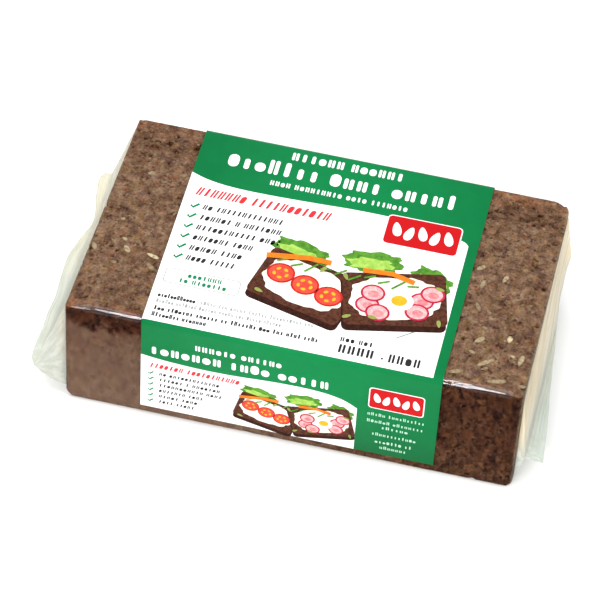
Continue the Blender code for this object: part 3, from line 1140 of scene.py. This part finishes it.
def makeWords():
    draw = random.Random(12)
    white = bmesh.new()
    addMarks(white, draw, onTop, [(31.3, 5.2, 40.2, 3.6, [6, 6])], tallShare=1.0, bold=1.1)
    addMarks(white, draw, onTop, [(10.2, 12.0, 81.6, 6.6, [7, 4, 5])], tallShare=0.3, bold=1.1)
    addMarks(white, draw, onTop, [(26.8, 19.2, 48.8, 2.2, [4, 9, 4, 7])], tallShare=1.0)
    addMarks(white, draw, onFront, [(18.3, 8.6, 30.2, 2.6, [6, 6])], tallShare=1.0)
    addMarks(white, draw, onFront, [(2.7, 13.4, 62.2, 5.0, [7, 4, 5])], tallShare=0.3, bold=1.1)
    makeMarks("titleMarks", white, "titleWhite", (250, 252, 250))

    pale = bmesh.new()
    addMarks(pale, draw, onFront, [
        (78.2, 23.6, 19.8, 1.6, [5, 10]), (78.2, 27.2, 19.6, 1.6, [6, 8]), (83.2, 29.9, 9.6, 1.6, [6]),
        (80.2, 33.8, 15.5, 1.6, [12]), (81.5, 37.7, 13.0, 1.6, [7, 2]), (83.3, 40.5, 9.5, 1.6, [7])])
    makeMarks("addressMarks", pale, "paleGreenInk", (176, 222, 196))

    red = bmesh.new()
    addMarks(red, draw, onTop, [(3.6, 29.5, 47.2, 3.9, [7, 11])], lean=0.30, tallShare=1.0)
    addMarks(red, draw, onFront, [(3.0, 21.9, 31.4, 2.5, [7, 11])], lean=0.30, tallShare=1.0)
    makeMarks("headingMarks", red, "headingRed", (222, 52, 58))

    # the list: its lines on the top, then smaller on the front, each with a tick
    black, green = bmesh.new(), bmesh.new()
    lines = ((36.3, 35.8, [2, 13]), (41.0, 36.2, [6, 1, 7]), (45.7, 37.2, [11, 4]),
             (50.4, 28.5, [7, 4]), (55.2, 25.9, [5, 4]), (59.9, 24.5, [4, 5]))
    for spot, left, tall, size, tickAt, tickSize in ((onTop, 7.4, 2.4, 1.0, 3.3, 2.5),
                                                     (onFront, 6.3, 1.6, 0.745, 2.6, 1.7)):
        for number, (v, right, words) in enumerate(lines):
            if spot == onFront:
                v = 26.0 + 2.92 * number
            addMarks(black, draw, spot, [(left, v, (right - 7.4) * size, tall, words)],
                     lean=0.22, tallShare=1.0)
            addPrint(green, spot, [tick(tickAt, v, tickSize)], 1)

    addMarks(black, draw, onTop, [
        (2.5, 78.2, 13.0, 2.0, [12]), (2.5, 84.1, 56.4, 2.0, [3, 7, 6, 2, 7, 3, 3, 4, 4]),
        (2.5, 86.9, 18.8, 2.0, [8, 7])], bold=1.3)
    addMarks(black, draw, onTop, [(65.6, 81.4, 11.4, 2.0, [3, 3]), (65.6, 85.4, 12.6, 3.7, [4])],
             tallShare=1.0)
    addPrint(black, onTop, [oval(80.9, 86.2, 0.8, 0.8, steps=10)], 1)
    addMarks(black, draw, onTop, [(82.6, 85.4, 11.4, 3.7, [4])], tallShare=1.0)
    makeMarks("textMarks", black, "textBlack", (44, 44, 46))

    addMarks(green, draw, onTop, [(10.0, 67.8, 12.0, 1.9, [7]), (7.5, 70.4, 16.7, 1.9, [2, 7])],
             tallShare=1.0)
    makeMarks("greenMarks", green, "markGreen", (24, 128, 82))

    grey = bmesh.new()
    addMarks(grey, draw, onTop, [(17.0, 78.2, 39.0, 1.9, [5, 3, 5, 6, 10, 3]),
                                 (2.5, 80.8, 43.0, 1.9, [6, 7, 6, 5, 3, 5, 6])])
    addPrint(grey, onTop, openBox(15.4, 69.1, 26.0, 6.7, 1.6, 0.28), 1)
    addPrint(grey, onTop, [stroke([(83.5, 76.4), (93.0, 68.9)], 0.5)], 1)
    addPrint(grey, onFront, [stroke([(36.0, 36.2), (46.8, 40.2)], 0.4)], 1)
    makeMarks("greyMarks", grey, "textGrey", (150, 156, 152))
    print("word marks are laid out")


def makeBackPrint():  # the back, which the front view hides, in the same style
    draw = random.Random(31)
    ink = bmesh.new()
    for row in range(9):
        wide = draw.uniform(44.0, 58.0)
        addMarks(ink, draw, onBack, [(6.0, 13.6 + 2.9 * row, wide, 1.5, [5, 7, 4, 8, 6, 5])])
    for row in range(8):
        v = 14.6 + 3.4 * row
        addPrint(ink, onBack, [stroke([(75.5, v + 1.5), (97.5, v + 1.5)], 0.18)], 1)
        addMarks(ink, draw, onBack, [(76.0, v, 9.0, 1.4, [6]), (91.5, v, 5.0, 1.4, [3])])
    makeMarks("backMarks", ink, "backInk", (66, 68, 68))


badge = {
    # middle, width and height in mm, and the scale of its corners and seeds
    "topPlace": (82.8, 29.4, 25.4, 12.8, 1.0),
    "frontPlace": (87.8, 15.2, 18.2, 9.8, 0.74),
    "seeds": 5,
}


def makeBadge():
    shape = bmesh.new()
    for spot, (u, v, wide, tall, size) in ((onTop, badge["topPlace"]), (onFront, badge["frontPlace"])):
        addPrint(shape, spot, [roundedBox(u, v, wide + 0.8, tall + 0.8, 1.7 * size)], 1, 0)
        addPrint(shape, spot, [roundedBox(u, v, wide, tall, 1.4 * size)], 2, 1)
        seeds = []
        for i in range(badge["seeds"]):
            side = 1 if i % 2 else -1  # every other seed leans the other way
            seeds.append(almond(u + (i - badge["seeds"] // 2) * 4.5 * size, v + 0.5 * side * size,
                                6.4 * size, 3.9 * size, -90 + 14 * side))
        addPrint(shape, spot, seeds, 3, 2)
    makePrint("seedBadge", shape, makeInk("badgeRim", (252, 250, 250)),
              makeInk("badgeRed", (190, 25, 29), (182, 22, 26), 140.0, 0.5),
              makeInk("badgeSeed", (252, 250, 248)))


picture = {
    "topPlace": (64.6, 58.0, 1.0),  # middle on the top panel in mm, and its scale
    "frontPlace": (53.6, 32.2, 0.62),
    "levelStep": 0.4,  # how far one layer lies over the last, in print levels
    # each ink: two colours, the scale of its speckles, and how strong they are
    "inks": {
        "leafDark": ((92, 148, 52), (58, 112, 34), 500.0, 0.8),
        "leafLight": ((168, 204, 96), (128, 178, 66), 500.0, 0.8),
        "crust": ((58, 30, 22), (38, 20, 16), 700.0, 0.8),
        "crumb": ((92, 54, 40), (60, 34, 26), 800.0, 0.9),
        "spread": ((250, 246, 234), (228, 220, 200), 260.0, 0.6),
        "tomatoSkin": ((196, 44, 36), (160, 30, 28), 400.0, 0.6),
        "tomatoFlesh": ((226, 84, 66), (204, 58, 48), 500.0, 0.7),
        "radishSkin": ((190, 44, 74), (160, 30, 58), 500.0, 0.7),
        "radishFlesh": ((240, 186, 186), (222, 140, 146), 700.0, 0.8),
        "radishShade": ((216, 118, 124), (232, 160, 160), 700.0, 0.8),
        "eggWhite": ((252, 250, 242), (236, 232, 218), 300.0, 0.5),
        "yolk": ((248, 178, 46), (238, 150, 30), 400.0, 0.6),
        "pepper": ((240, 128, 36), (226, 100, 26), 400.0, 0.6),
        "seed": ((150, 158, 84), (118, 130, 60), 600.0, 0.6),
    },
    "leaves": [(-20, -10.5, 20, 9, 12, 7, 0.09), (4.5, -12.5, 20, 9, -6, 8, 0.08),
               (25.5, -9.5, 14.5, 9, 24, 7, 0.10)],
    "youngLeaves": [(-21, -10.5, 14, 5, 12), (4, -12.2, 15, 5, -6), (26, -9.0, 10.5, 5, 24)],
    "slices": [(-15.5, 4.0, 34.0, 22.0, 14.0), (15.0, 2.0, 35.0, 23.0, -13.0)],
    "tomatoes": [(-24.5, 0.5), (-15.5, 3.6), (-6.8, 6.6)],
    # one radish disc on each slice, lying a little over the one before
    "radishes": [((6.6, 6.6), (24.0, 0.6)), ((10.6, 9.2), (27.0, -3.2)), ((7.4, 1.2), (23.4, 5.8))],
    "chives": 10,
    "peppers": [([(-31, -6.0), (-17, -8.2), (-9, -8.0)], 2.2),
                ([(2, -7.8), (12, -8.6), (20, -6.6)], 2.0)],
    "seeds": [(-30, 10, 20), (-3, -3.5, 60), (1.0, 13.5, -30), (31.5, 9, 75), (29, -6, 10),
              (-11, -4.5, 120), (9.5, 11.8, 5)],
}


def pictureLayers():
    # a plain still life of two spread slices with tomato, radish, egg and leaves
    layers = [("leafDark", [frill(*leaf) for leaf in picture["leaves"]]),
              ("leafLight", [frill(u, v + 0.8, wide, tall, turn, 6, 0.12)
                             for u, v, wide, tall, turn in picture["youngLeaves"]])]
    for u, v, wide, tall, turn in picture["slices"]:
        layers += [("crust", [roundedBox(u, v + 2.6, wide, tall, 2.2, turn)]),
                   ("crumb", [roundedBox(u, v, wide, tall, 2.2, turn)]),
                   ("spread", [frill(u, v - 0.4, wide * 0.86, tall * 0.80, turn, 9, 0.035)])]
    discs = picture["tomatoes"]
    layers += [("tomatoSkin", [oval(u, v, 9.8, 8.8) for u, v in discs]),
               ("tomatoFlesh", [oval(u, v, 8.4, 7.4) for u, v in discs]),
               ("yolk", [oval(u + 2.3 * cos(a), v + 2.0 * sin(a), 1.7, 1.2,
                              degrees(a) + 90, 10)
                         for u, v in discs for a in (0.4, 1.66, 2.9, 4.2, 5.4)])]
    for pair in picture["radishes"]:
        layers += [("radishSkin", [oval(u, v, 8.4, 7.4) for u, v in pair]),
                   ("radishFlesh", [oval(u, v, 6.9, 5.9) for u, v in pair]),
                   ("radishShade", [oval(u + 0.3, v + 0.4, 3.8, 2.9) for u, v in pair])]
    chives = [stroke([(-27 + 5 * i, -4.5 + 1.2 * (i % 3)), (-23.2 + 5 * i, -6.3 + 1.1 * (i % 2))], 0.7)
              for i in range(picture["chives"])]
    return layers + [("eggWhite", [oval(16.4, 2.6, 10.2, 8.6, -10)]),
                     ("yolk", [oval(16.6, 2.4, 5.4, 4.6, -10)]),
                     ("leafDark", chives),
                     ("pepper", [stroke(*pepper) for pepper in picture["peppers"]]),
                     ("seed", [almond(u, v, 3.2, 1.8, turn) for u, v, turn in picture["seeds"]])]


def makePicture():
    names = list(picture["inks"])
    shape = bmesh.new()
    for spot, (u, v, scale) in ((onTop, picture["topPlace"]), (onFront, picture["frontPlace"])):
        for number, (ink, outlines) in enumerate(pictureLayers()):
            placed = [[(u + a * scale, v + b * scale) for a, b in outline] for outline in outlines]
            addPrint(shape, spot, placed, 1 + picture["levelStep"] * number, names.index(ink))
    makePrint("stillLifePrint", shape,
              *[makeInk(name + "Ink", *colours) for name, colours in picture["inks"].items()])
    print("still life is printed")


def main():
    makeCamera()
    makeStudio()
    makeBread()
    makeSeeds()
    makeKernels()
    makeFilm()
    makeLabelBand()
    makePanels()
    makeWords()
    makeBackPrint()
    makeBadge()
    makePicture()


main()
